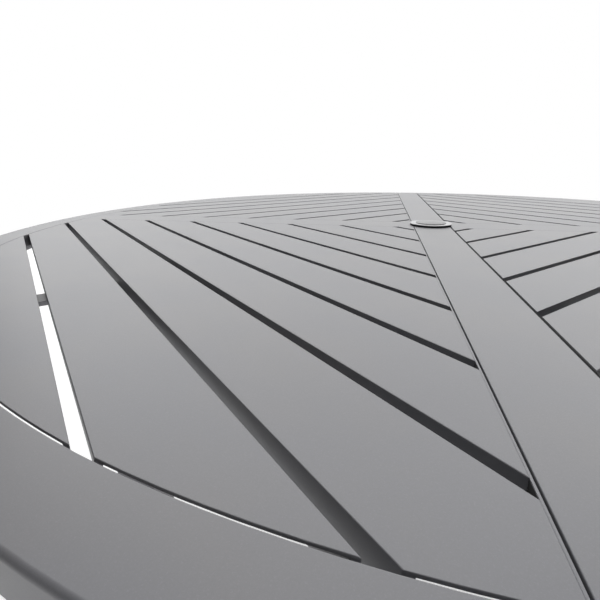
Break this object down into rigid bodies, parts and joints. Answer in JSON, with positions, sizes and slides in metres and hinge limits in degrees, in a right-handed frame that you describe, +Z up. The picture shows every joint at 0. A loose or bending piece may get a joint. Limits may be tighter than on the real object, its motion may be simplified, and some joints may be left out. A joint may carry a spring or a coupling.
{
  "type": "umbrella table",
  "caption": "Round slatted metal patio table with an umbrella hole in its main bar, a lift-out cap, an apron and legs on levelling glides.",
  "frame": {"origin": "on the floor, below the centre of the umbrella hole", "axes": "+Z up along the umbrella hole; Y along the main bar; -Y is the near side in the picture"},
  "size_m": [1.219, 1.2192, 0.7418],
  "materials": {
    "frame_paint": "grey satin powder coat with a fine speckle",
    "ring_steel": "polished",
    "gasket": "matte",
    "cap_metal": "satin",
    "foot_plastic": "matte",
    "bolt_steel": "brushed",
    "glide_plastic": "matte"
  },
  "bodies": {
    "frame": {"rim": "frame_paint", "umbrella_bar": "frame_paint", "spine_left": "frame_paint", "spine_right": "frame_paint", "edge_strips": "frame_paint", "slat_near_left_1": "frame_paint", "slat_near_right_1": "frame_paint", "slat_far_left_1": "frame_paint", "slat_far_right_1": "frame_paint", "slat_near_left_2": "frame_paint", "slat_near_right_2": "frame_paint", "slat_far_left_2": "frame_paint", "slat_far_right_2": "frame_paint", "slat_near_left_3": "frame_paint", "slat_near_right_3": "frame_paint", "slat_far_left_3": "frame_paint", "slat_far_right_3": "frame_paint", "slat_near_left_4": "frame_paint", "slat_near_right_4": "frame_paint", "slat_far_left_4": "frame_paint", "slat_far_right_4": "frame_paint", "slat_near_left_5": "frame_paint", "slat_near_right_5": "frame_paint", "slat_far_left_5": "frame_paint", "slat_far_right_5": "frame_paint", "slat_near_left_6": "frame_paint", "slat_near_right_6": "frame_paint", "slat_far_left_6": "frame_paint", "slat_far_right_6": "frame_paint", "slat_near_left_7": "frame_paint", "slat_near_right_7": "frame_paint", "slat_far_left_7": "frame_paint", "slat_far_right_7": "frame_paint", "slat_near_left_8": "frame_paint", "slat_near_right_8": "frame_paint", "slat_far_left_8": "frame_paint", "slat_far_right_8": "frame_paint", "slat_near_left_9": "frame_paint", "slat_near_right_9": "frame_paint", "slat_far_left_9": "frame_paint", "slat_far_right_9": "frame_paint", "centre_gussets": "frame_paint", "radial_straps": "frame_paint", "umbrella_ring": "ring_steel", "ring_gasket": "gasket", "apron_rail_near": "frame_paint", "apron_rail_far": "frame_paint", "apron_rail_left": "frame_paint", "apron_rail_right": "frame_paint", "leg_near_left": "frame_paint", "leg_near_right": "frame_paint", "leg_far_left": "frame_paint", "leg_far_right": "frame_paint", "foot_inserts": "foot_plastic", "frame_bolts": "bolt_steel"},
    "cap": {"umbrella_cap": "cap_metal"},
    "glide_near_left": {"levelling_glide_near_left": "glide_plastic"},
    "glide_near_right": {"levelling_glide_near_right": "glide_plastic"},
    "glide_far_left": {"levelling_glide_far_left": "glide_plastic"},
    "glide_far_right": {"levelling_glide_far_right": "glide_plastic"}
  },
  "joints": [
    {"name": "cap_lift", "type": "slide", "parent": "frame", "child": "cap", "axis": [0, 0, 1], "range_m": [0, 0.02]},
    {"name": "level_near_left", "type": "slide", "parent": "frame", "child": "glide_near_left", "axis": [0, 0, 1], "range_m": [0, 0.008]},
    {"name": "level_near_right", "type": "slide", "parent": "frame", "child": "glide_near_right", "axis": [0, 0, 1], "range_m": [0, 0.008]},
    {"name": "level_far_left", "type": "slide", "parent": "frame", "child": "glide_far_left", "axis": [0, 0, 1], "range_m": [0, 0.008]},
    {"name": "level_far_right", "type": "slide", "parent": "frame", "child": "glide_far_right", "axis": [0, 0, 1], "range_m": [0, 0.008]}
  ]
}
